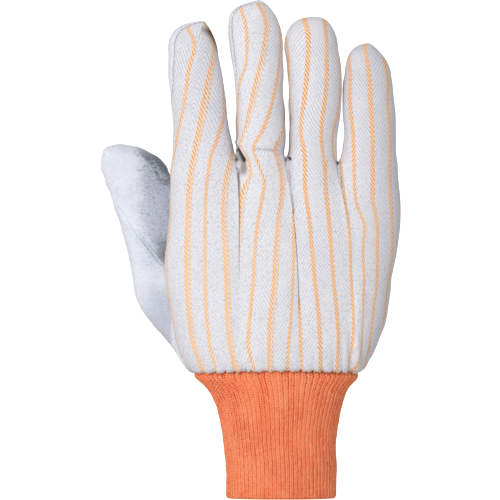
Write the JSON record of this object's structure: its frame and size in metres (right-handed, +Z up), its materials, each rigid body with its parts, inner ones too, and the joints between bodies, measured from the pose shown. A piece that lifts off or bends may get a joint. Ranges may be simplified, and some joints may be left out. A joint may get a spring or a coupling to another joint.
{
  "type": "leather palm work glove",
  "caption": "Right-hand work glove as worn: striped cotton back, split-leather palm and thumb, ribbed orange knit wrist, hollow for a hand.",
  "frame": {"origin": "centre of the wrist opening, at the lower edge of the knit", "axes": "+Z up along the fingers, +X towards the little finger, +Y out of the palm, so the back of the hand faces -Y"},
  "size_m": [0.1597, 0.0612, 0.2646],
  "materials": {
    "striped_cotton": "matt off-white cotton twill with thin orange stripes",
    "split_leather": "matt pale grey suede",
    "orange_knit": "matt orange rib knit"
  },
  "bodies": {
    "root": {"back_cloth": "striped_cotton", "palm_leather": "split_leather", "thumb_leather": "split_leather", "knit_wrist": "orange_knit"}
  },
  "joints": []
}
